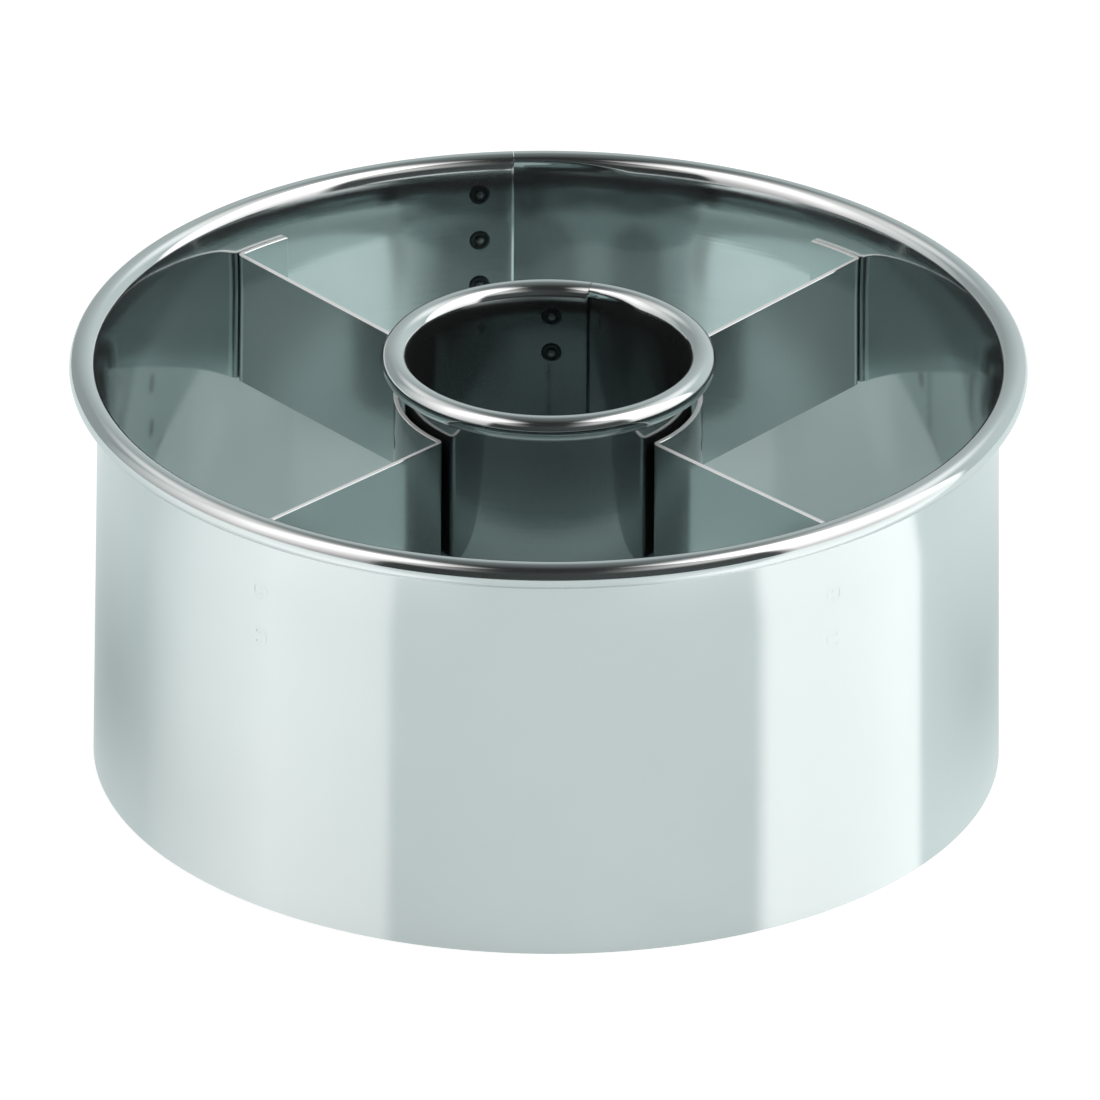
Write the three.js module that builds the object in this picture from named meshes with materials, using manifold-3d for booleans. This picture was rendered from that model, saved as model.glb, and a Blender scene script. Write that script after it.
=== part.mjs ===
// Doughnut cutter of bright stainless sheet.
// Two rings, each one strip rolled up and lapped on itself, stand one inside the other on their cutting edges.
// Two bent strips, each with a pair of spokes, hold the rings together, and spot welds hold every lap and tab.
// Millimetres, +Z up. The origin is the middle of the plane that the cutting edges stand on.
import * as THREE from 'three';
import { mergeVertices } from 'three/addons/utils/BufferGeometryUtils.js';
import Module from 'manifold-3d';

const wasm = await Module();
wasm.setup();

// Driving dimensions: sheet and rings
const sheet = 0.5;
const outerEdgeDiameter = 90;
const outerTaper = 0.5;
const outerHeight = 43.4;
const outerBeadHollow = 2.4;
const outerSeamAzimuth = 94.6;
const innerEdgeDiameter = 28.4;
const innerHeight = 44.1;
const innerBeadHollow = 2;
const innerSeamAzimuth = 74.2;
const curlTurn = 270;
const lapLength = 5.3;
const lapGap = 0.15;
const joggleLength = 2.2;

// Driving dimensions: spoke strips, with azimuths for the left strip
const stripHeight = 14;
const stripDrop = 1;
const frontWallAzimuth = 226;
const frontHubAzimuth = 225.5;
const backHubAzimuth = 143;
const backWallAzimuth = 134.6;
const tabLength = 6;
const tabGap = 0.25;
const hubGap = 0.6;
const bendReach = 1.2;

// Driving dimensions: spot welds
const weldDiameter = 2.1;
const weldDish = 0.12;
const weldClearance = 0.2;
const weldEdgeInset = 1.8;
const outerWeldDrop = 2;
const outerWeldFoot = 4.7;
const outerWeldCount = 8;
const innerWeldDrop = 1.7;
const innerWeldPitch = 4;
const innerWeldFoot = 3.5;
const stripWeldPitch = 5;

// How finely round shapes are cut into flats
const curlSteps = 10;
const outerStep = 6;
const innerStep = 10;
const bendSteps = 5;
const weldSides = 12;

const radians = THREE.MathUtils.degToRad;
const degrees = THREE.MathUtils.radToDeg;
const steel = { color: 0xb9c1be, roughness: 0.12, metalness: 1 };
const weldSteel = { color: 0x98a09d, roughness: 0.35, metalness: 1 };

// A rolled ring's derived sizes, all measured on its nominal, inner layer
function ringSizes(edgeDiameter, taper, height, beadHollow, seamAzimuth, step) {
  const beadRadius = beadHollow / 2 + sheet;
  const footFace = edgeDiameter / 2 - sheet;
  const headFace = footFace - taper;
  const beadHeight = height - beadRadius;
  const faceAt = (z) => footFace - taper * z / beadHeight;
  const arc = (length) => degrees(length / footFace);
  return { beadRadius, footFace, beadHeight, beadAxis: headFace + beadRadius, faceAt, arc, seamAzimuth, step };
}

const outer = ringSizes(
  outerEdgeDiameter, outerTaper, outerHeight, outerBeadHollow, outerSeamAzimuth, outerStep,
);
const inner = ringSizes(
  innerEdgeDiameter, 0, innerHeight, innerBeadHollow, innerSeamAzimuth, innerStep,
);

// Outline of the sheet's section, [radius, height], moved outward by offset where one end laps over the other
function ringSection(ring, offset) {
  const face = (depth) => {
    const points = [[ring.footFace + depth, 0]];
    for (let k = 0; k <= curlSteps; k += 1) {
      const turn = radians(curlTurn * k / curlSteps);
      const reach = ring.beadRadius - depth;
      points.push([ring.beadAxis - reach * Math.cos(turn), ring.beadHeight + reach * Math.sin(turn)]);
    }
    return points;
  };
  return [...face(offset), ...face(offset + sheet).reverse()];
}

// Azimuths along the strip, from its inner end once round and on over the lap, with the outward step there
function ringStations(ring) {
  const start = ring.seamAzimuth;
  const lapStart = start + 360;
  const joggleStart = lapStart - ring.arc(joggleLength);
  const end = lapStart + ring.arc(lapLength);
  const fixed = [start, joggleStart, (joggleStart + lapStart) / 2, lapStart, end];
  const regular = [];
  for (let azimuth = Math.ceil(start / ring.step) * ring.step; azimuth < end; azimuth += ring.step) {
    if (fixed.every((other) => Math.abs(other - azimuth) > ring.step / 8)) regular.push(azimuth);
  }
  const offsetAt = (azimuth) => {
    const share = THREE.MathUtils.smoothstep(azimuth, joggleStart, lapStart);
    return share * (sheet + lapGap);
  };
  const azimuths = [...fixed, ...regular].sort((a, b) => a - b);
  return azimuths.map((azimuth) => ({ azimuth, offset: offsetAt(azimuth) }));
}

// Closed surface through the sections of a ring, capped at both ends of the strip
function ringGeometry(ring) {
  const stations = ringStations(ring);
  const positions = [];
  for (const { azimuth, offset } of stations) {
    for (const [radius, height] of ringSection(ring, offset)) {
      const angle = radians(azimuth);
      positions.push(radius * Math.cos(angle), radius * Math.sin(angle), height);
    }
  }
  const section = ringSection(ring, 0);
  const count = section.length;
  const index = [];
  for (let i = 0; i + 1 < stations.length; i += 1) {
    for (let j = 0; j < count; j += 1) {
      const a = i * count + j;
      const b = i * count + (j + 1) % count;
      index.push(a, b, b + count, a, b + count, a + count);
    }
  }
  const contour = section.map(([radius, height]) => new THREE.Vector2(radius, height));
  const lastRow = (stations.length - 1) * count;
  for (const [a, b, c] of THREE.ShapeUtils.triangulateShape(contour, [])) {
    index.push(a, b, c);
    index.push(lastRow + a, lastRow + c, lastRow + b);
  }
  const geometry = new THREE.BufferGeometry();
  geometry.setAttribute('position', new THREE.Float32BufferAttribute(positions, 3));
  geometry.setIndex(index);
  return geometry;
}

const stripTop = Math.min(
  outer.beadHeight - outer.beadRadius,
  inner.beadHeight - inner.beadRadius,
) - stripDrop;
const stripMiddle = stripTop - stripHeight / 2;
const tabRadius = outer.faceAt(stripTop) - tabGap - sheet / 2;
const hubRadius = inner.footFace + sheet + hubGap + sheet / 2;

const polar = (radius, azimuth) => new THREE.Vector2(
  radius * Math.cos(radians(azimuth)),
  radius * Math.sin(radians(azimuth)),
);

// Middle line of the left strip in plan: tab, spoke, arc round the inner ring, spoke, tab
function stripLine() {
  const tabTurn = degrees(tabLength / tabRadius);
  const tabBend = degrees(bendReach / tabRadius);
  const hubBend = degrees(bendReach / hubRadius);
  const frontWall = polar(tabRadius, frontWallAzimuth);
  const frontHub = polar(hubRadius, frontHubAzimuth);
  const backHub = polar(hubRadius, backHubAzimuth);
  const backWall = polar(tabRadius, backWallAzimuth);
  const towards = (from, to) => to.clone().sub(from).setLength(bendReach).add(from);

  const line = new THREE.Path();
  const arc = (radius, from, to) => line.absarc(0, 0, radius, radians(from), radians(to), true);
  const bend = (corner, end) => line.quadraticCurveTo(corner.x, corner.y, end.x, end.y);
  const run = (end) => line.lineTo(end.x, end.y);
  arc(tabRadius, frontWallAzimuth + tabTurn, frontWallAzimuth + tabBend);
  bend(frontWall, towards(frontWall, frontHub));
  run(towards(frontHub, frontWall));
  bend(frontHub, polar(hubRadius, frontHubAzimuth - hubBend));
  arc(hubRadius, frontHubAzimuth - hubBend, backHubAzimuth + hubBend);
  bend(backHub, towards(backHub, backWall));
  run(towards(backWall, backHub));
  bend(backWall, polar(tabRadius, backWallAzimuth - tabBend));
  arc(tabRadius, backWallAzimuth - tabBend, backWallAzimuth - tabTurn);

  const points = [];
  for (const point of line.getPoints(bendSteps)) {
    const last = points.at(-1);
    if (!last || last.distanceTo(point) > sheet / 100) points.push(point);
  }
  return points;
}

// A strip of sheet standing on edge along its middle line; mirror is -1 for the right strip
function stripGeometry(mirror) {
  const line = stripLine().map((point) => new THREE.Vector2(point.x * mirror, point.y));
  const side = (distance) => line.map((point, k) => {
    const before = line[Math.max(k - 1, 0)];
    const after = line[Math.min(k + 1, line.length - 1)];
    const along = after.clone().sub(before).normalize();
    return new THREE.Vector2(point.x - along.y * distance, point.y + along.x * distance);
  });
  const outline = new THREE.Shape([...side(sheet / 2), ...side(-sheet / 2).reverse()]);
  const geometry = new THREE.ExtrudeGeometry(outline, { depth: stripHeight, bevelEnabled: false });
  return geometry.translate(0, 0, stripTop - stripHeight);
}

// Every spot weld: its name, the way it points, its height, and the radii of the two faces that it joins
function listWelds() {
  const welds = [];
  const seam = (name, ring, heights) => {
    const azimuth = ring.seamAzimuth + ring.arc(lapLength - weldEdgeInset);
    heights.forEach((height, k) => {
      const near = ring.faceAt(height);
      welds.push({ name: `${name}_weld_${k + 1}`, azimuth, height, near, far: near + 2 * sheet + lapGap });
    });
  };
  const stripPair = (name, azimuth, near, farAt) => {
    [stripWeldPitch / 2, -stripWeldPitch / 2].forEach((rise, k) => {
      const height = stripMiddle + rise;
      welds.push({ name: `${name}_weld_${k + 1}`, azimuth, height, near, far: farAt(height) });
    });
  };

  const outerTop = outer.beadHeight - outerWeldDrop;
  const outerHeights = Array.from({ length: outerWeldCount }, (_, k) => (
    THREE.MathUtils.lerp(outerTop, outerWeldFoot, k / (outerWeldCount - 1))
  ));
  seam('outer_seam', outer, outerHeights);
  const innerTop = inner.beadHeight - innerWeldDrop;
  seam('inner_seam', inner, [innerTop, innerTop - innerWeldPitch, innerWeldFoot + innerWeldPitch, innerWeldFoot]);

  const tabMiddle = degrees((tabLength + bendReach) / 2 / tabRadius);
  const hubMiddle = (frontHubAzimuth + backHubAzimuth) / 2;
  for (const [side, place] of [['left', (azimuth) => azimuth], ['right', (azimuth) => 180 - azimuth]]) {
    const tabNear = tabRadius - sheet / 2;
    const wallFar = (height) => outer.faceAt(height) + sheet;
    const hubFar = () => hubRadius + sheet / 2;
    stripPair(`${side}_front_tab`, place(frontWallAzimuth + tabMiddle), tabNear, wallFar);
    stripPair(`${side}_back_tab`, place(backWallAzimuth - tabMiddle), tabNear, wallFar);
    stripPair(`${side}_hub`, place(hubMiddle), inner.footFace, hubFar);
  }
  return welds;
}

const welds = listWelds();

// A weld nugget, turned about its own axis, with a shallow dish pressed into each end
function nuggetGeometry(weld) {
  const radius = weldDiameter / 2;
  const length = weld.far - weld.near;
  const profile = [[0, weldDish], [radius, 0], [radius, length], [0, length - weldDish]];
  return new THREE.LatheGeometry(profile.map(([x, y]) => new THREE.Vector2(x, y)), weldSides);
}

// Turns a shape that stands on +Y so that it points outward at a weld's place
function placeAtWeld(geometry, weld) {
  return geometry
    .rotateZ(-Math.PI / 2)
    .translate(weld.near, 0, weld.height)
    .rotateZ(radians(weld.azimuth));
}

// Solid of a closed geometry, and back
function solidOf(geometry) {
  const bare = geometry.clone();
  bare.deleteAttribute('normal');
  bare.deleteAttribute('uv');
  const merged = mergeVertices(bare, 1e-4);
  const vertProperties = new Float32Array(merged.getAttribute('position').array);
  const triVerts = new Uint32Array(merged.getIndex().array);
  return new wasm.Manifold(new wasm.Mesh({ numProp: 3, vertProperties, triVerts }));
}

function geometryOf(solid) {
  const mesh = solid.getMesh();
  const geometry = new THREE.BufferGeometry();
  geometry.setAttribute('position', new THREE.Float32BufferAttribute(mesh.vertProperties, 3));
  geometry.setIndex(Array.from(mesh.triVerts));
  geometry.computeVertexNormals();
  return geometry;
}

// A sheet piece with a clear hole through every layer that a weld passes
function withWeldHoles(geometry, passes) {
  let solid = solidOf(geometry);
  for (const weld of welds.filter(passes)) {
    const length = weld.far - weld.near + 2 * sheet;
    const hole = new THREE.CylinderGeometry(
      weldDiameter / 2 + weldClearance, weldDiameter / 2 + weldClearance, length, weldSides,
    );
    hole.translate(0, length / 2 - sheet, 0);
    solid = solid.subtract(solidOf(placeAtWeld(hole, weld)));
  }
  return geometryOf(solid);
}

const cutter = new THREE.Group();

function addPiece(name, geometry, look) {
  const mesh = new THREE.Mesh(geometry, new THREE.MeshStandardMaterial(look));
  mesh.name = name;
  cutter.add(mesh);
}

const named = (...words) => (weld) => words.some((word) => weld.name.includes(word));

addPiece('outer_ring', withWeldHoles(ringGeometry(outer), named('outer_seam', 'tab')), steel);
addPiece('inner_ring', withWeldHoles(ringGeometry(inner), named('inner_seam', 'hub')), steel);
addPiece('left_spoke_strip', withWeldHoles(stripGeometry(1), named('left_')), steel);
addPiece('right_spoke_strip', withWeldHoles(stripGeometry(-1), named('right_')), steel);
for (const weld of welds) addPiece(weld.name, placeAtWeld(nuggetGeometry(weld), weld), weldSteel);

export default cutter;
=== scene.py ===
"""Doughnut cutter of bright stainless sheet: two rolled rings, two spoke strips and their spot welds."""
import math

import bpy
from mathutils import Matrix, Vector


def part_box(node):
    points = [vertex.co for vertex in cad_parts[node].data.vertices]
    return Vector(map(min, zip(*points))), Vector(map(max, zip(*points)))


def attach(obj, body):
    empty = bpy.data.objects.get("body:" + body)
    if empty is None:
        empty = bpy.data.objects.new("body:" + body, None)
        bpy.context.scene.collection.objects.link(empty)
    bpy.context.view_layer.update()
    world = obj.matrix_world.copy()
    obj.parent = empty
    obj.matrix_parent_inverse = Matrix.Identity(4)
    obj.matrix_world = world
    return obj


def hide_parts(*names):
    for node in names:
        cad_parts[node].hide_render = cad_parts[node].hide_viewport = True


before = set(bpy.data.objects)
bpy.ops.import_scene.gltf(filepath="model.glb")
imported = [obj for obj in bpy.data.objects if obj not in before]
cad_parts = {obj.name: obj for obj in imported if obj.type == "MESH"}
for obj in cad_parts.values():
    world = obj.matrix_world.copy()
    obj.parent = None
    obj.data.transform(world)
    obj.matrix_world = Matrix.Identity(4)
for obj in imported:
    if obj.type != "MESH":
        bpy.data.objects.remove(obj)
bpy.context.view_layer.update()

MM = 0.001

# sheet and its joints
SHEET = 0.5 * MM
EDGE_ROUNDING = 0.06 * MM
LAP_LENGTH = 5.3 * MM
LAP_STEP = 0.65 * MM
LAP_STEPS = 8

# corners that turn by more than the first angle are rounded, those by less than the second shade smooth
ROUND_ABOVE = math.radians(50)
SMOOTH_BELOW = math.radians(25)

# the wall eases out over a long stretch before the lap, while the curl butts against its own start
EASE_STEPS = 14
CURL_BUTT_GAP = 0.06 * MM

# the inner end of each lap is pressed down a little
PRESSED_LENGTH = 0.26 * MM
PRESSED_DEPTH = 0.06 * MM
PRESSED_STEPS = 4

# curl at the upper edge of each ring, and the share of its radius in which the wall runs into it
CURL_SIDES = 48
CURL_BLEND = 0.8
# points within this share of the curl's radius count as the same place
CURL_SLACK = 0.01
# where the wall meets the curl it leans out by the turn of two sides of the curl
HEAD_LEAN = 2 * 2 * math.pi / CURL_SIDES
WALL_STEPS = 12
FLARE_STEPS = 12
LIP_STEPS = 8

# the wall leans from foot to head, flares out gently below the head, and sharply over a short lip
OUTER_RING = {
    "node": "outer_ring",
    "bead": 1.35 * MM,
    "wall_at_head": 44.0 * MM,
    "wall_at_foot": 44.5 * MM,
    "flare": 0.5 * MM,
    "flare_length": 8.6 * MM,
    "lip_length": 2.6 * MM,
    "seam": 94.6,
    "ease": 12 * MM,
    "turn_step": 1.0,
}
INNER_RING = {
    "node": "inner_ring",
    "bead": 1.3 * MM,
    "wall_at_head": 13.7 * MM,
    "wall_at_foot": 13.7 * MM,
    "flare": 0.1 * MM,
    "flare_length": 4 * MM,
    "lip_length": 2 * MM,
    "seam": 74.2,
    "ease": 6 * MM,
    "turn_step": 2.0,
}
for ring in (OUTER_RING, INNER_RING):
    ring["bead_height"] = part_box(ring["node"])[1][2] - ring["bead"]
    ring["head"] = ring["bead_height"] + ring["bead"] * math.sin(HEAD_LEAN)
    ring["lean"] = (ring["wall_at_foot"] - ring["wall_at_head"]) / ring["head"]
    flare_slope = 2 * ring["flare"] / ring["flare_length"] - ring["lean"]
    ring["lip"] = (math.tan(HEAD_LEAN) - flare_slope) * ring["lip_length"] / 2
    face_at_head = ring["wall_at_head"] + ring["flare"] + ring["lip"]
    ring["bead_axis"] = face_at_head + ring["bead"] * math.cos(HEAD_LEAN)

# spoke strips, with azimuths for the left one
STRIP_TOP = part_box("left_spoke_strip")[1][2]
STRIP_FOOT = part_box("left_spoke_strip")[0][2]
TAB_RADIUS = 43.53 * MM
HUB_RADIUS = 15.05 * MM
TAB_LENGTH = 6 * MM
TAB_GAP = 0.04 * MM
TAB_PRESS_START = 41 * MM
TAB_BRIGHT_START = 43 * MM
STRIP_ROWS = 10
FRONT_WALL_AZIMUTH = 226
FRONT_HUB_AZIMUTH = 225.5
BACK_HUB_AZIMUTH = 143
BACK_WALL_AZIMUTH = 134.6
BEND_REACH = 0.5 * MM
BEND_STEPS = 6
# beside each bend the straight starts with a short stretch, so that the bend's shading ends there
BEND_MARGIN = 0.15 * MM
ARC_STEP = 1.5

# spot welds
WELD_RADIUS = 1.05 * MM
WELD_SIDES = 32
WELD_PROUD = 0.025 * MM
WELD_SMOOTH_BELOW = math.radians(40)
# length of the nugget that all others are copied from
NUGGET_LENGTH = 1 * MM
# the pressed face of a nugget, from its edge to its middle: width of the next band and its rise, in mm
WELD_FACE = ((0.16, 0.06), (0.2, -0.05), (0.2, 0.0), (0.16, 0.04), (0.14, 0.01))
# heat scale ends this far from the middle
SCALE_END = 0.45 * MM
# the outer face is nearly flush, and as bright as the sheet from here on
FLUSH_SHARE = 0.1
FLUSH_START = 0.1 * MM

# the part of a sheet that isn't bare metal is a thin haze from handling
# it keeps the deepest mirror images from going black
SHEET_METAL = 0.965
# rolling lines 0.25 mm apart run level round every wall, long against their width
LINE_SCALE = (30, 30, 4000)
# cloudy handling marks about 12 mm across
CLOUD_SCALE = 80.0
# shear marks about 0.3 mm apart along an edge
SHEAR_SCALE = 3300.0
# scale and grit of the electrode on a weld, about 0.2 mm
GRIT_SCALE = 5000.0
# most of a marking's range, and the roughness that clouds and lines add over it
MARK_SPAN = (0.3, 0.7)
CLOUD_DULLING = (0.07, 0.11)
LINE_DULLING = (-0.015, 0.02)
EDGE_ROUGHNESS = (0.7, 0.85)
WELD_ROUGHNESS = (0.2, 0.4)
RELIEF_DEPTH = 0.02 * MM
LINE_RELIEF = 0.05
SHEAR_RELIEF = 0.1

# table
TABLE_WIDTH = 500 * MM
TABLE_FRONT = -160 * MM
TABLE_BACK = 220 * MM
TABLE_DROP = 0.02 * MM
TABLE_ROUGHNESS = 0.06
# brightness that the picture sees
TABLE_WHITE = 0.8
# inside and outside the cutter part under its wall, and the steel sees this share of gloss in each
WALL_LINE = 44.7 * MM
TABLE_GLOSS = (0.08, 0.3)

# painted light and shade that the steel sees on the table inside the cutter: where each painted light
# starts and ends, and how strong it is
POOL_WAY = (0.72, 0.69, 0)
POOL_EDGE = (13.5 * MM, 16.2 * MM)
PAINTED_POOL_LIGHT = 0.39
POOL_END_WAY = (-0.4, 1, 0)
POOL_END = (3 * MM, 13 * MM)
COLLAR_REACH = (17 * MM, 27 * MM)
COLLAR_FRONT = (-2 * MM, 8 * MM)
PAINTED_COLLAR_LIGHT = 0.25
BACK_EDGE = (18 * MM, 28 * MM)
PAINTED_BACK_LIGHT = 0.09
HUB_EDGE = (13.7 * MM, 14.2 * MM)
PAINTED_HUB_LIGHT = (0.56, 0.11)

# painted light that the steel sees on the table outside the cutter, and the cutter's painted shade in it
PAINTED_OUTSIDE_LIGHT = 0.36
SHADE_BEHIND = (-25 * MM, 15 * MM)
PAINTED_SHADE_DEPTH = 0.27
SHADE_REACH = (55 * MM, 110 * MM)
SHADE_FADING = (1.0, 0.3)

# room light by direction: from front to back, from low to high, and from left to right
ROOM_DEPTH = (-0.3, 0.6)
ROOM_LIGHT = (0.055, 0.61)
ROOM_RISE = (0.5, 0.9)
ROOM_FADING = (1.0, 0.35)
ROOM_BREADTH = (-0.45, 0.45)
ROOM_BALANCE = (0.7, 1.3)

# soft lights, with stops of slope and brightness across them and up them
LEFT_LIGHT = {
    "azimuth": 190,
    "elevation": 40,
    "across": ((-0.8, 0), (0.08, 1), (0.67, 0.62), (0.73, 0)),
    "upright": ((-0.84, 0.75), (-0.24, 1.37), (0.18, 2.07), (0.5, 2.07), (0.8, 0)),
}
RIGHT_LIGHT = {
    "azimuth": -6,
    "elevation": 40,
    "across": ((-0.5, 0), (-0.42, 1), (0.42, 1), (0.47, 0)),
    "upright": ((-0.84, 0.9), (-0.24, 1.65), (0.18, 2.1), (0.5, 2.17), (0.8, 0)),
}
# a soft light's sides stand upright up to about 45 degrees above level, and spread above that
UPRIGHT_SLOPE = 0.5
SPREAD_DROP = 0.35
LEAST_AHEAD = 0.02
# high up the soft lights fade out slowly to both sides
GLOW_BREADTH = (0.14, 0.52)
GLOW_LIGHT = 0.8
GLOW_RISE = (0.45, 0.7)

# picture taken as this many pixels square
IMAGE_SIDE = 1100
PIXELS_PER_MM = 10.091
SENSOR_WIDTH = 36
CAMERA_DISTANCE = 3.0
CAMERA_CLIP_END = 20
CAMERA_ELEVATION = math.radians(26.54)
CAMERA_ROLL = math.radians(0.35)
CAMERA_AIM = Vector((0, 0, 21 * MM))
AIM_RIGHT = 0.26 * MM
AIM_UP = 0.723 * MM


def polar(radius, azimuth, height=0.0):
    """A point at this radius from the cutter's axis, this azimuth in degrees and this height."""
    angle = math.radians(azimuth)
    return Vector((radius * math.cos(angle), radius * math.sin(angle), height))


def smooth_step(value):
    """Eases from 0 to 1 with level ends."""
    held = min(max(value, 0.0), 1.0)
    return held * held * (3 - 2 * held)


def eased_shares(steps):
    """Shares of a move, one for each step, that start and end gently and add up to 1."""
    return [smooth_step((i + 1) / steps) - smooth_step(i / steps) for i in range(steps)]


def linear(code):
    """A hex colour as the linear values that a socket takes."""
    parts = [int(code[i:i + 2], 16) / 255 for i in (0, 2, 4)]
    return [c / 12.92 if c <= 0.04045 else ((c + 0.055) / 1.055) ** 2.4 for c in parts] + [1.0]


# shader nodes

def add_node(tree, kind, settings=None, **sockets):
    """Adds a node, sets its properties, and fills its inputs with values or with links."""
    node = tree.nodes.new(kind)
    for name, value in (settings or {}).items():
        setattr(node, name, value)
    for name, value in sockets.items():
        key = int(name[1:]) if name[0] == "_" else name.replace("_", " ")
        socket = node.inputs[key]
        if isinstance(value, bpy.types.NodeSocket):
            tree.links.new(value, socket)
        else:
            socket.default_value = value
    return node


def combine(tree, operation, first, second):
    """Two numbers joined by one step of arithmetic."""
    return add_node(tree, "ShaderNodeMath", {"operation": operation}, _0=first, _1=second).outputs[0]


def absolute(tree, value):
    """A number without its sign."""
    return add_node(tree, "ShaderNodeMath", {"operation": "ABSOLUTE"}, _0=value).outputs[0]


def combine_ways(tree, operation, first, second):
    """Two vectors joined by one step of arithmetic."""
    return add_node(tree, "ShaderNodeVectorMath", {"operation": operation}, _0=first, _1=second).outputs[0]


def dot(tree, first, second):
    """How far one vector reaches along another."""
    settings = {"operation": "DOT_PRODUCT"}
    return add_node(tree, "ShaderNodeVectorMath", settings, _0=first, _1=second).outputs["Value"]


def reach_of(tree, vector):
    """The length of a vector."""
    return add_node(tree, "ShaderNodeVectorMath", {"operation": "LENGTH"}, _0=vector).outputs["Value"]


def fade(tree, value, span, ends, eased=True):
    """Runs from one end to the other while the value crosses the span, with level ends if eased."""
    return add_node(
        tree, "ShaderNodeMapRange", {"interpolation_type": "SMOOTHSTEP" if eased else "LINEAR"},
        Value=value, From_Min=span[0], From_Max=span[1], To_Min=ends[0], To_Max=ends[1]
    ).outputs[0]


def blend(tree, share, first, second):
    """A colour that goes from one hex colour to another by this share."""
    return add_node(
        tree, "ShaderNodeMix", {"data_type": "RGBA"}, Factor=share, _6=linear(first), _7=linear(second)
    ).outputs[2]


def noise(tree, place, scale, detail=2.0, roughness=0.5):
    """An uneven marking over the surface."""
    return add_node(
        tree, "ShaderNodeTexNoise", Vector=place, Scale=scale, Detail=detail, Roughness=roughness
    ).outputs[0]


def relief(tree, marking, strength):
    """A marking felt as a slight unevenness in reflections."""
    return add_node(
        tree, "ShaderNodeBump", Strength=strength, Distance=RELIEF_DEPTH, Height=marking
    ).outputs[0]


def new_material(name):
    """An empty material, with its nodes and the places on the piece that it covers."""
    material = bpy.data.materials.new(name)
    material.use_nodes = True
    tree = material.node_tree
    tree.nodes.clear()
    return material, tree, add_node(tree, "ShaderNodeTexCoord").outputs["Object"]


def steel_surface(tree, **sockets):
    """Ends a material in a steel surface with these values."""
    shader = add_node(tree, "ShaderNodeBsdfPrincipled", **sockets)
    add_node(tree, "ShaderNodeOutputMaterial", Surface=shader.outputs[0])


# forming

def start_mesh():
    """Leaves nothing selected, so that the next operator acts on the new piece alone."""
    if bpy.context.object and bpy.context.object.mode != "OBJECT":
        bpy.ops.object.mode_set(mode="OBJECT")
    bpy.ops.object.select_all(action="DESELECT")


def select_points(piece, chosen):
    """In edit mode, selects just the vertices whose place passes the test."""
    bpy.ops.mesh.select_mode(type="VERT")
    bpy.ops.mesh.select_all(action="DESELECT")
    bpy.ops.object.mode_set(mode="OBJECT")
    for vertex in piece.data.vertices:
        vertex.select = chosen(vertex.co)
    bpy.ops.object.mode_set(mode="EDIT")


def keep_selected(piece, chosen):
    """In edit mode, drops from the selection every vertex whose place fails the test."""
    bpy.ops.object.mode_set(mode="OBJECT")
    kept = [vertex.select and chosen(vertex.co) for vertex in piece.data.vertices]
    bpy.ops.object.mode_set(mode="EDIT")
    bpy.ops.mesh.select_all(action="DESELECT")
    bpy.ops.object.mode_set(mode="OBJECT")
    for vertex, keep in zip(piece.data.vertices, kept):
        vertex.select = keep
    bpy.ops.object.mode_set(mode="EDIT")


def apply_modifier(piece, kind, **settings):
    """Adds a modifier with its settings and makes it part of the mesh."""
    bpy.context.view_layer.objects.active = piece
    modifier = piece.modifiers.new(kind.title(), kind)
    for name, value in settings.items():
        setattr(modifier, name, value)
    bpy.ops.object.modifier_apply(modifier=modifier.name)


def thicken(piece, offset):
    """Gives a formed sheet its thickness, its sheared edges their finish, and a slight rounding."""
    apply_modifier(
        piece, "SOLIDIFY",
        thickness=SHEET, offset=offset, use_even_offset=True, material_offset_rim=1
    )
    apply_modifier(
        piece, "BEVEL",
        width=EDGE_ROUNDING, segments=1, limit_method="ANGLE", angle_limit=ROUND_ABOVE
    )
    start_mesh()
    piece.select_set(True)
    bpy.context.view_layer.objects.active = piece
    bpy.ops.object.shade_smooth_by_angle(angle=SMOOTH_BELOW)


def settle(piece, slot, *nodes):
    """Ties a finished piece to the body and hides the solids that it stands for."""
    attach(piece, "root")
    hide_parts(*nodes)


# materials

def sheet_steel(name, dark, pale):
    """Cold-rolled stainless sheet: a cool, slightly green mirror with faint lines along the roll."""
    material, tree, place = new_material(name)
    line_place = add_node(tree, "ShaderNodeMapping", Vector=place, Scale=LINE_SCALE).outputs[0]
    lines = noise(tree, line_place, 1.0, detail=3.0, roughness=0.6)
    clouds = noise(tree, place, CLOUD_SCALE)
    dulling = fade(tree, clouds, MARK_SPAN, CLOUD_DULLING, eased=False)
    streaks = fade(tree, lines, MARK_SPAN, LINE_DULLING, eased=False)
    steel_surface(
        tree, Base_Color=blend(tree, clouds, dark, pale), Metallic=SHEET_METAL,
        Roughness=combine(tree, "ADD", dulling, streaks), Normal=relief(tree, lines, LINE_RELIEF)
    )
    return material


def sheared_edge_steel():
    """Sheared and tumbled sheet edge: matt and pale, it draws a white line along every strip."""
    material, tree, place = new_material("sheared_stainless_edge")
    marks = noise(tree, place, SHEAR_SCALE)
    steel_surface(
        tree, Base_Color=blend(tree, marks, "F0F5F4", "FAFCFC"), Metallic=1.0,
        Roughness=fade(tree, marks, (0.0, 1.0), EDGE_ROUGHNESS, eased=False),
        Normal=relief(tree, marks, SHEAR_RELIEF)
    )
    return material


def weld_steel(name, dark, pale):
    """Stainless steel melted and pressed by electrodes: duller than the sheet, in a mix of two shades."""
    material, tree, place = new_material(name)
    grit = noise(tree, place, GRIT_SCALE)
    steel_surface(
        tree, Base_Color=blend(tree, grit, dark, pale), Metallic=1.0,
        Roughness=fade(tree, grit, (0.0, 1.0), WELD_ROUGHNESS, eased=False)
    )
    return material
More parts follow.
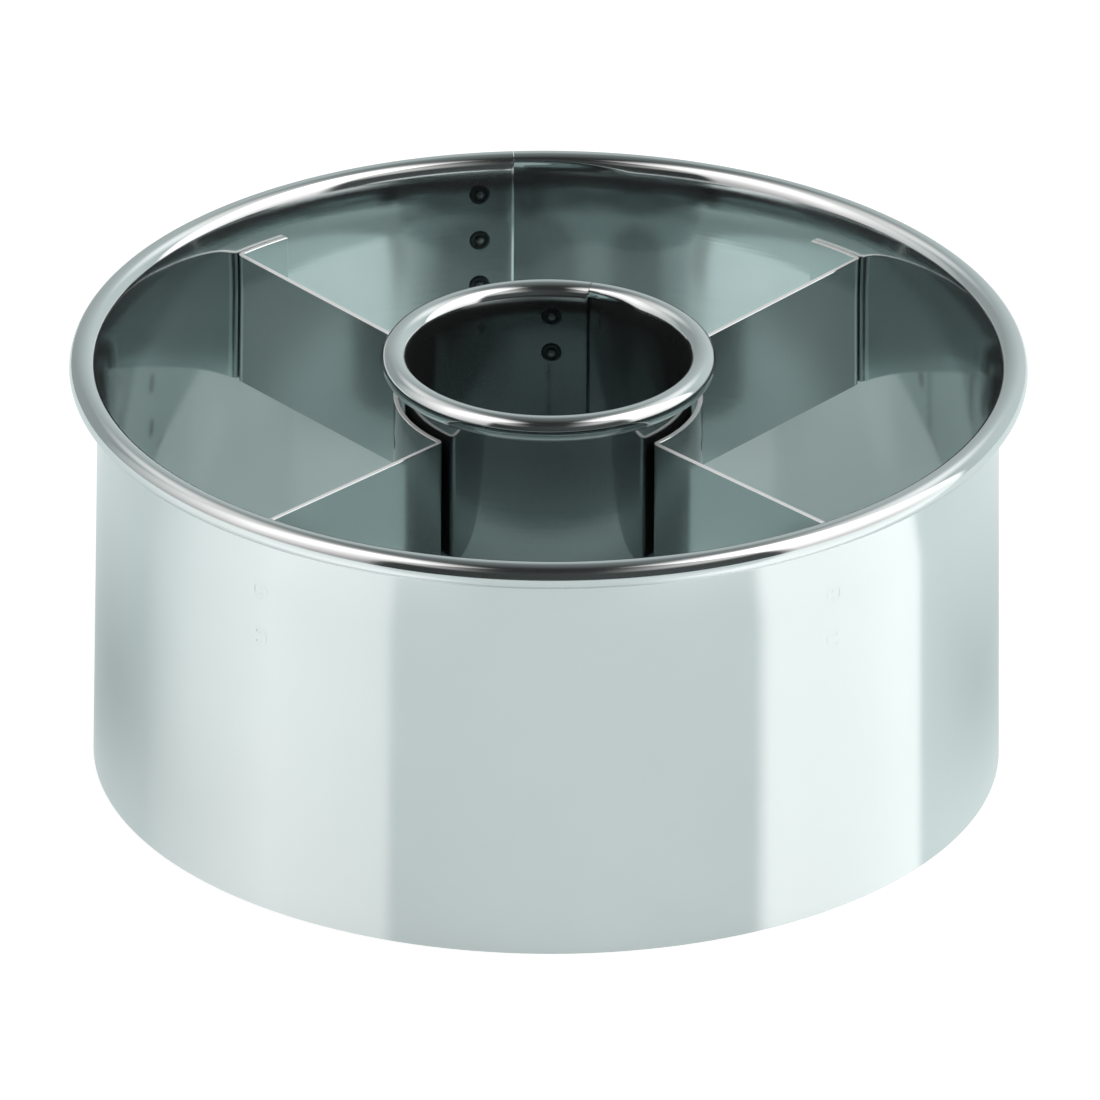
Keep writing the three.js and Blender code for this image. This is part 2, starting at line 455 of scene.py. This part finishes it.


# the outer ring and both curls are the brightest, the strips come next, the inner wall is dullest; the
# inner wall's darker copy of the same sheet stands partly for a duller sheet and partly for painted shade
# in the deep hub
BRIGHT_SHEET = sheet_steel("bright_annealed_stainless_sheet", "D1D8D8", "D7DEDE")
STRIP_SHEET = sheet_steel("cold_rolled_stainless_strip", "B2B9B9", "B8BFBF")
DULL_AND_SHADED_SHEET = sheet_steel("dull_and_shaded_stainless_sheet", "9DA3A3", "A3A9A9")
EDGE_STEEL = sheared_edge_steel()
WELD_STEEL = weld_steel("spot_weld_nugget", "747A79", "989F9D")
# a dark ring of heat scale lies round the middle of each pressed face
HEAT_SCALE = weld_steel("spot_weld_heat_scale", "303434", "545A5A")


# rings

def straight_face(ring, height):
    """Radius of a ring's inner face at this height, if its wall had no flare."""
    return ring["wall_at_foot"] - ring["lean"] * height


def wall_face(ring, height):
    """Radius of a ring's inner face at this height."""
    below_head = ring["head"] - height
    into_flare = max(1 - below_head / ring["flare_length"], 0.0)
    into_lip = max(1 - below_head / ring["lip_length"], 0.0)
    return straight_face(ring, height) + ring["flare"] * into_flare ** 2 + ring["lip"] * into_lip ** 2


def wall_points(ring):
    """The steps from the head of the wall down to its foot, as radius and height."""
    head = ring["head"]
    lip_foot = head - ring["lip_length"]
    flare_foot = head - ring["flare_length"]
    runs = ((head, lip_foot, LIP_STEPS), (lip_foot, flare_foot, FLARE_STEPS), (flare_foot, 0, WALL_STEPS))
    heights = []
    for start, end, steps in runs:
        heights += [start + (end - start) * i / steps for i in range(1, steps + 1)]
    return [(wall_face(ring, height), height) for height in heights]


def on_wall_side(ring, reach):
    """Whether a point at this radius lies on the wall's side of the curl, clear of the curl's own end."""
    return reach < ring["bead_axis"] - SHEET / 4


def spin(turn, steps):
    """Sweeps the selected section round the cutter's axis by these degrees, to greater azimuths."""
    bpy.ops.mesh.spin(steps=steps, angle=math.radians(turn), center=(0, 0, 0), axis=(0, 0, -1))


def shift_section(piece, ring, distance):
    """Moves the wall of the selected section outwards, and less and less where it runs into the curl."""
    bpy.ops.object.mode_set(mode="OBJECT")
    for vertex in piece.data.vertices:
        if vertex.select:
            outward = Vector((vertex.co.x, vertex.co.y, 0))
            in_wall = 0.0
            if on_wall_side(ring, outward.length):
                above = (vertex.co.z - ring["bead_height"]) / ring["bead"]
                in_wall = 1 - smooth_step(above / CURL_BLEND)
            vertex.co += outward.normalized() * distance * in_wall
    bpy.ops.object.mode_set(mode="EDIT")


def ring_section(ring):
    """The curl, from under its axis round to the head of the wall, and the wall down to its foot."""
    bead = ring["bead"]
    bead_axis = ring["bead_axis"]
    head = ring["head"]
    slack = bead * CURL_SLACK
    start_mesh()
    bpy.ops.mesh.primitive_circle_add(
        vertices=CURL_SIDES, radius=bead,
        location=(bead_axis, 0, ring["bead_height"]), rotation=(math.pi / 2, 0, 0)
    )
    piece = bpy.context.object
    piece.name = piece.data.name = "formed_" + ring["node"]
    bpy.ops.object.transform_apply(location=True, rotation=True, scale=True)
    bpy.ops.object.mode_set(mode="EDIT")
    select_points(piece, lambda p: p.x < bead_axis - slack and p.z < head - slack)
    bpy.ops.mesh.delete(type="VERT")
    select_points(piece, lambda p: p.x < bead_axis - slack and p.z < head + slack)
    place = Vector((wall_face(ring, head), 0, head))
    for radius, height in wall_points(ring):
        target = Vector((radius, 0, height))
        bpy.ops.mesh.extrude_region_move(TRANSFORM_OT_translate={"value": target - place})
        place = target
    return piece


def rolled_ring(ring):
    """One strip with a curled upper edge, rolled once round the axis and eased out to lap its start."""
    piece = ring_section(ring)
    lengths = (PRESSED_LENGTH, ring["ease"], CURL_BUTT_GAP, LAP_LENGTH)
    turns = [math.degrees(length / ring["wall_at_foot"]) for length in lengths]
    pressed_turn, ease_turn, butt_turn, lap_turn = turns
    plain_turn = 360 - pressed_turn - ease_turn - butt_turn
    bpy.ops.mesh.select_all(action="SELECT")
    shift_section(piece, ring, PRESSED_DEPTH)
    for rise in eased_shares(PRESSED_STEPS):
        spin(pressed_turn / PRESSED_STEPS, 1)
        shift_section(piece, ring, -PRESSED_DEPTH * rise)
    spin(plain_turn, round(plain_turn / ring["turn_step"]))
    for rise in eased_shares(EASE_STEPS):
        spin(ease_turn / EASE_STEPS, 1)
        shift_section(piece, ring, LAP_STEP * rise)
    wall_top = ring["head"] + ring["bead"] * CURL_SLACK
    keep_selected(piece, lambda p: p.z < wall_top and on_wall_side(ring, p.xy.length))
    spin(butt_turn + lap_turn, LAP_STEPS)
    bpy.ops.mesh.select_all(action="SELECT")
    bpy.ops.mesh.normals_make_consistent(inside=False)
    bpy.ops.transform.rotate(
        value=-math.radians(ring["seam"]),
        orient_axis="Z", orient_type="GLOBAL", center_override=(0, 0, 0)
    )
    bpy.ops.object.mode_set(mode="OBJECT")
    return piece


for ring in (OUTER_RING, INNER_RING):
    formed = rolled_ring(ring)
    # the inner ring's wall is darker, partly as painted shade of the deep hub, while its curl keeps the
    # bright sheet
    wall_sheet = BRIGHT_SHEET if ring is OUTER_RING else DULL_AND_SHADED_SHEET
    # each finish is followed by that of its edges
    for material in (wall_sheet, wall_sheet, BRIGHT_SHEET, BRIGHT_SHEET):
        formed.data.materials.append(material)
    for face in formed.data.polygons:
        face.material_index = 2 if face.center.z > ring["head"] else 0
    thicken(formed, -1.0)
    settle(formed, "stainless_sheet", ring["node"])


# spoke strips

def rounded_corner(before, corner, after):
    """Points of a bend from one straight into the next, with a short margin at both ends."""
    entry = (before - corner).normalized()
    leave = (after - corner).normalized()
    start = corner + entry * BEND_REACH
    end = corner + leave * BEND_REACH
    yield start + entry * BEND_MARGIN
    for i in range(BEND_STEPS + 1):
        t = i / BEND_STEPS
        yield start * (1 - t) ** 2 + corner * 2 * t * (1 - t) + end * t ** 2
    yield end + leave * BEND_MARGIN


def arc(radius, first, last):
    """Points along an arc round the cutter's axis, ends included."""
    steps = max(2, round(abs(last - first) / ARC_STEP))
    return [polar(radius, first + (last - first) * i / steps) for i in range(steps + 1)]


def strip_path():
    """The left strip's middle line in plan: tab, spoke, hub, spoke, tab."""
    tab_turn = math.degrees(TAB_LENGTH / TAB_RADIUS)
    tab_bend = math.degrees((BEND_REACH + 2 * BEND_MARGIN) / TAB_RADIUS)
    hub_bend = math.degrees((BEND_REACH + 2 * BEND_MARGIN) / HUB_RADIUS)
    front_tab = arc(TAB_RADIUS, FRONT_WALL_AZIMUTH + tab_turn, FRONT_WALL_AZIMUTH + tab_bend)
    hub = arc(HUB_RADIUS, FRONT_HUB_AZIMUTH - hub_bend, BACK_HUB_AZIMUTH + hub_bend)
    back_tab = arc(TAB_RADIUS, BACK_WALL_AZIMUTH - tab_bend, BACK_WALL_AZIMUTH - tab_turn)
    front_wall = polar(TAB_RADIUS, FRONT_WALL_AZIMUTH)
    front_hub = polar(HUB_RADIUS, FRONT_HUB_AZIMUTH)
    back_hub = polar(HUB_RADIUS, BACK_HUB_AZIMUTH)
    back_wall = polar(TAB_RADIUS, BACK_WALL_AZIMUTH)
    points = front_tab
    points += rounded_corner(front_tab[-1], front_wall, front_hub)
    points += rounded_corner(front_wall, front_hub, hub[0])
    points += hub
    points += rounded_corner(hub[-1], back_hub, back_wall)
    points += rounded_corner(back_hub, back_wall, back_tab[0])
    points += back_tab
    return points


def press_tabs(piece):
    """Lays a strip's tabs against the leaning and flaring wall of the outer ring."""
    for vertex in piece.data.vertices:
        plan = Vector((vertex.co.x, vertex.co.y, 0))
        share = smooth_step((plan.length - TAB_PRESS_START) / (TAB_RADIUS - TAB_PRESS_START))
        target = wall_face(OUTER_RING, vertex.co.z) - TAB_GAP - SHEET / 2
        vertex.co += plan.normalized() * (target - TAB_RADIUS) * share


def bent_strip(side, sign):
    """One strip stood on edge, drawn out along its path and turned over for the right-hand side."""
    points = [Vector((p.x * sign, p.y, 0)) for p in strip_path()]
    height = STRIP_TOP - STRIP_FOOT
    middle = (STRIP_TOP + STRIP_FOOT) / 2
    start_mesh()
    bpy.ops.mesh.primitive_plane_add(size=height, location=(0, 0, 0), rotation=(math.pi / 2, 0, 0))
    piece = bpy.context.object
    piece.name = piece.data.name = f"formed_{side}_spoke_strip"
    bpy.ops.object.transform_apply(location=True, rotation=True, scale=True)
    bpy.ops.object.mode_set(mode="EDIT")
    select_points(piece, lambda p: p.x < 0)
    bpy.ops.mesh.delete(type="VERT")
    bpy.ops.mesh.select_all(action="SELECT")
    bpy.ops.mesh.subdivide(number_cuts=STRIP_ROWS - 1)
    bpy.ops.transform.translate(value=points[0] + Vector((-height / 2, 0, middle)))
    for here, there in zip(points, points[1:]):
        bpy.ops.mesh.extrude_region_move(TRANSFORM_OT_translate={"value": there - here})
    bpy.ops.object.mode_set(mode="OBJECT")
    press_tabs(piece)
    return piece


for side, sign in (("left", 1), ("right", -1)):
    strip = bent_strip(side, sign)
    # a tab has been pressed against the bright wall, and is as bright
    for material in (STRIP_SHEET, EDGE_STEEL, BRIGHT_SHEET, EDGE_STEEL):
        strip.data.materials.append(material)
    for face in strip.data.polygons:
        face.material_index = 2 if face.center.xy.length > TAB_BRIGHT_START else 0
    thicken(strip, 0.0)
    settle(strip, "stainless_sheet", f"{side}_spoke_strip")


# spot welds

def weld_nugget():
    """One nugget lying along X: pressed ring and low middle at its near end, faint mark at its far end."""
    start_mesh()
    bpy.ops.mesh.primitive_cylinder_add(
        vertices=WELD_SIDES, radius=WELD_RADIUS, depth=NUGGET_LENGTH, rotation=(0, math.pi / 2, 0)
    )
    piece = bpy.context.object
    for material in (WELD_STEEL, HEAT_SCALE, BRIGHT_SHEET):
        piece.data.materials.append(material)
    bpy.ops.object.transform_apply(location=True, rotation=True, scale=True)
    bpy.ops.object.mode_set(mode="EDIT")
    for end, share in ((-1, 1), (1, FLUSH_SHARE)):
        select_points(piece, lambda p: p.x * end > 0)
        for width, rise in WELD_FACE:
            bpy.ops.mesh.inset(thickness=width * MM)
            bpy.ops.transform.translate(value=(end * rise * share * MM, 0, 0))
    bpy.ops.object.mode_set(mode="OBJECT")
    for face in piece.data.polygons:
        reach = max(math.hypot(*piece.data.vertices[v].co.yz) for v in face.vertices)
        near_material = 0 if reach < SCALE_END else 1
        face.material_index = 2 if face.center.x > FLUSH_START else near_material
    bpy.ops.object.shade_smooth_by_angle(angle=WELD_SMOOTH_BELOW)
    return piece


def place_weld(pattern, name):
    """Copies the nugget into the place and length of its solid, ends a little proud of the sheets."""
    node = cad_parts[name]
    points = [node.matrix_world @ v.co for v in node.data.vertices]
    middle = sum(points, Vector()) / len(points)
    azimuth = math.atan2(middle.y, middle.x)
    turn = Matrix.Rotation(azimuth, 4, "Z")
    reach = [(turn.inverted() @ p).x for p in points]
    ring = OUTER_RING if "_tab_" in name or "outer_seam" in name else INNER_RING
    near = -WELD_PROUD
    if "_tab_" in name:
        near -= TAB_GAP + SHEET
    far = max(reach) - straight_face(ring, middle.z) + WELD_PROUD * FLUSH_SHARE
    if "_seam_" in name:
        far += straight_face(ring, middle.z) - min(reach)
    start_mesh()
    pattern.select_set(True)
    bpy.context.view_layer.objects.active = pattern
    bpy.ops.object.duplicate(linked=False)
    piece = bpy.context.object
    piece.name = piece.data.name = "pressed_" + name
    for vertex in piece.data.vertices:
        end = 1 if vertex.co.x > 0 else -1
        base = far if end > 0 else near
        height = middle.z + vertex.co.z
        along = wall_face(ring, height) + base + vertex.co.x - end * NUGGET_LENGTH / 2
        vertex.co = turn @ Vector((along, vertex.co.y, height))
    settle(piece, "weld_nugget", name)


nugget = weld_nugget()
for name in sorted(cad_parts):
    if "_weld_" in name:
        place_weld(nugget, name)
start_mesh()
nugget.select_set(True)
bpy.ops.object.delete()


# table, light and camera

def painted_inside_light(tree, spot, reach):
    """Painted light and shade on the table within the cutter, as the steel sees it."""
    split = add_node(tree, "ShaderNodeSeparateXYZ", Vector=spot).outputs
    mirrored = add_node(tree, "ShaderNodeCombineXYZ", X=absolute(tree, split[0]), Y=split[1]).outputs[0]
    # each side sector has a painted pool of light, past a line that runs along the front spoke
    pool = fade(tree, dot(tree, mirrored, POOL_WAY), POOL_EDGE, (0.0, PAINTED_POOL_LIGHT))
    pool_end = fade(tree, dot(tree, mirrored, POOL_END_WAY), POOL_END, (1.0, 0.0))
    sides = combine(tree, "MULTIPLY", pool, pool_end)
    # a painted collar of light lies round the front of the inner ring
    collar_reach = fade(tree, reach, COLLAR_REACH, (PAINTED_COLLAR_LIGHT, 0.0))
    collar_front = fade(tree, split[1], COLLAR_FRONT, (1.0, 0.0))
    collar = combine(tree, "MULTIPLY", collar_reach, collar_front)
    front = combine(tree, "MAXIMUM", collar, sides)
    back = fade(tree, split[1], BACK_EDGE, (0.0, PAINTED_BACK_LIGHT))
    brightest = combine(tree, "MAXIMUM", front, back)
    # painted light, as if falling straight down the inner ring
    in_hub = fade(tree, reach, HUB_EDGE, PAINTED_HUB_LIGHT, eased=False)
    return combine(tree, "ADD", brightest, in_hub)


def painted_outside_light(tree, spot, reach):
    """Painted light on the table round the cutter, with the cutter's painted shade beside and behind it, as
    the steel sees it.
    """
    split = add_node(tree, "ShaderNodeSeparateXYZ", Vector=spot).outputs
    behind = fade(tree, split[1], SHADE_BEHIND, (0.0, PAINTED_SHADE_DEPTH))
    near = fade(tree, reach, SHADE_REACH, SHADE_FADING)
    return combine(tree, "SUBTRACT", PAINTED_OUTSIDE_LIGHT, combine(tree, "MULTIPLY", behind, near))


def gloss_table():
    """White gloss table: white with a soft shadow to the picture, glossy to the steel, and glowing to the
    steel with painted light and shade that change by place.
    """
    material, tree, spot = new_material("white_gloss_table")
    path = add_node(tree, "ShaderNodeLightPath").outputs
    reach = reach_of(tree, spot)
    past_wall = combine(tree, "GREATER_THAN", reach, WALL_LINE)
    paint = blend(tree, path["Is Camera Ray"], "E0F3F1", "A6A8A8")
    matt = add_node(tree, "ShaderNodeBsdfDiffuse", Color=paint).outputs[0]
    gloss = add_node(
        tree, "ShaderNodeBsdfGlossy", Color=(1, 1, 1, 1), Roughness=TABLE_ROUGHNESS
    ).outputs[0]
    gloss_share = fade(tree, past_wall, (0.0, 1.0), TABLE_GLOSS, eased=False)
    steel_gloss = combine(tree, "MULTIPLY", path["Is Glossy Ray"], gloss_share)
    surface = add_node(tree, "ShaderNodeMixShader", Fac=steel_gloss, _1=matt, _2=gloss).outputs[0]
    # the steel sees painted light and shade here: a dimmer, greener glow inside the cutter with painted
    # pools, and a brighter glow outside with the cutter's painted shade
    inside = painted_inside_light(tree, spot, reach)
    outside = painted_outside_light(tree, spot, reach)
    strength = add_node(tree, "ShaderNodeMix", Factor=past_wall, _2=inside, _3=outside).outputs[0]
    painted_light_level = combine(tree, "MULTIPLY", path["Is Glossy Ray"], strength)
    tint = blend(tree, past_wall, "EAFFFD", "FFFDFE")
    painted_glow = add_node(tree, "ShaderNodeEmission", Color=tint, Strength=painted_light_level).outputs[0]
    white = combine(tree, "MULTIPLY", path["Is Camera Ray"], TABLE_WHITE)
    picture_glow = add_node(tree, "ShaderNodeEmission", Strength=white).outputs[0]
    glow = add_node(tree, "ShaderNodeAddShader", _0=painted_glow, _1=picture_glow).outputs[0]
    seen = add_node(tree, "ShaderNodeAddShader", _0=surface, _1=glow).outputs[0]
    add_node(tree, "ShaderNodeOutputMaterial", Surface=seen)
    return material


def table_top():
    """The plane that the cutter stands on."""
    start_mesh()
    bpy.ops.mesh.primitive_plane_add(size=1, location=(0, (TABLE_BACK + TABLE_FRONT) / 2, -TABLE_DROP))
    bpy.ops.transform.resize(value=(TABLE_WIDTH, TABLE_BACK - TABLE_FRONT, 1))
    bpy.ops.object.transform_apply(location=True, rotation=True, scale=True)
    table = bpy.context.object
    table.name = "table_top"
    table.data.materials.append(gloss_table())


def by_stops(tree, slope, stops):
    """Brightness that runs straight from stop to stop, for slopes from -1 to 1."""
    place = fade(tree, slope, (-1.0, 1.0), (0.0, 1.0), eased=False)
    ramp = add_node(tree, "ShaderNodeValToRGB", Fac=place)
    elements = ramp.color_ramp.elements
    elements.remove(elements[1])
    for i, (stop, value) in enumerate(stops):
        position = (stop + 1) / 2
        element = elements[0] if i == 0 else elements.new(position)
        element.position = position
        element.color = (value, value, value, 1)
    return ramp.outputs[0]


def softbox(tree, way, light):
    """A tilted soft light far off. Its stops are slopes from its middle, across it and up it."""
    azimuth = light["azimuth"]
    elevation = math.radians(light["elevation"])
    centre = polar(math.cos(elevation), azimuth, math.sin(elevation))
    level = polar(1, azimuth + 90)
    flat_way = combine_ways(tree, "MULTIPLY", way, (1, 1, 0))
    height = add_node(tree, "ShaderNodeSeparateXYZ", Vector=way).outputs[2]
    standing = combine(tree, "MULTIPLY", reach_of(tree, flat_way), UPRIGHT_SLOPE)
    spread = combine(tree, "SUBTRACT", height, SPREAD_DROP)
    lift = combine(tree, "MAXIMUM", standing, spread)
    raised = add_node(tree, "ShaderNodeCombineXYZ", Z=lift).outputs[0]
    upright_way = combine_ways(tree, "ADD", flat_way, raised)
    across = (upright_way, level, light["across"])
    upright = (way, centre.cross(level), light["upright"])
    shares = []
    for sight, direction, stops in (across, upright):
        ahead = combine(tree, "MAXIMUM", dot(tree, sight, centre), LEAST_AHEAD)
        slope = combine(tree, "DIVIDE", dot(tree, way, direction), ahead)
        shares.append(by_stops(tree, slope, stops))
    return combine(tree, "MULTIPLY", shares[0], shares[1])


def studio():
    """Dim room, brighter behind the cutter, with soft lights at both sides, plain white to the picture."""
    world = bpy.data.worlds.new("studio")
    bpy.context.scene.world = world
    world.use_nodes = True
    tree = world.node_tree
    tree.nodes.clear()
    way = add_node(tree, "ShaderNodeTexCoord").outputs["Generated"]
    split = add_node(tree, "ShaderNodeSeparateXYZ", Vector=way).outputs
    behind = fade(tree, split[1], ROOM_DEPTH, ROOM_LIGHT)
    low = fade(tree, split[2], ROOM_RISE, ROOM_FADING)
    sideways = fade(tree, split[0], ROOM_BREADTH, ROOM_BALANCE, eased=False)
    back_room = combine(tree, "MULTIPLY", behind, sideways)
    room = combine(tree, "MULTIPLY", back_room, low)
    left = softbox(tree, way, LEFT_LIGHT)
    right = softbox(tree, way, RIGHT_LIGHT)
    aside = fade(tree, absolute(tree, split[0]), GLOW_BREADTH, (0.0, GLOW_LIGHT))
    high = fade(tree, split[2], GLOW_RISE, (0.0, 1.0))
    glow = combine(tree, "MULTIPLY", aside, high)
    boxes = combine(tree, "MAXIMUM", combine(tree, "ADD", left, right), glow)
    warm = add_node(tree, "ShaderNodeBackground", Color=linear("FFF7F6"), Strength=boxes).outputs[0]
    cool = add_node(tree, "ShaderNodeBackground", Color=linear("F0FAF9"), Strength=room).outputs[0]
    lit = add_node(tree, "ShaderNodeAddShader", _0=warm, _1=cool).outputs[0]
    path = add_node(tree, "ShaderNodeLightPath").outputs
    white = add_node(tree, "ShaderNodeBackground", Color=(1, 1, 1, 1), Strength=1.0).outputs[0]
    seen = add_node(tree, "ShaderNodeMixShader", Fac=path["Is Camera Ray"], _1=lit, _2=white).outputs[0]
    add_node(tree, "ShaderNodeOutputWorld", Surface=seen)


def camera():
    """A long lens far off, at the picture's height and slight roll."""
    back = Vector((0, -math.cos(CAMERA_ELEVATION), math.sin(CAMERA_ELEVATION)))
    level = Vector((1, 0, 0))
    upright = back.cross(level)
    aim = CAMERA_AIM + level * AIM_RIGHT + upright * AIM_UP
    right = level * math.cos(CAMERA_ROLL) + upright * math.sin(CAMERA_ROLL)
    data = bpy.data.cameras.new("camera")
    data.sensor_width = SENSOR_WIDTH
    data.lens = PIXELS_PER_MM * CAMERA_DISTANCE / MM * data.sensor_width / IMAGE_SIDE
    data.clip_end = CAMERA_CLIP_END
    holder = bpy.data.objects.new("camera", data)
    bpy.context.collection.objects.link(holder)
    turned = Matrix((right, back.cross(right), back)).transposed()
    holder.matrix_world = Matrix.Translation(aim + back * CAMERA_DISTANCE) @ turned.to_4x4()
    bpy.context.scene.camera = holder


table_top()
studio()
camera()
bpy.context.scene.view_settings.view_transform = "Standard"
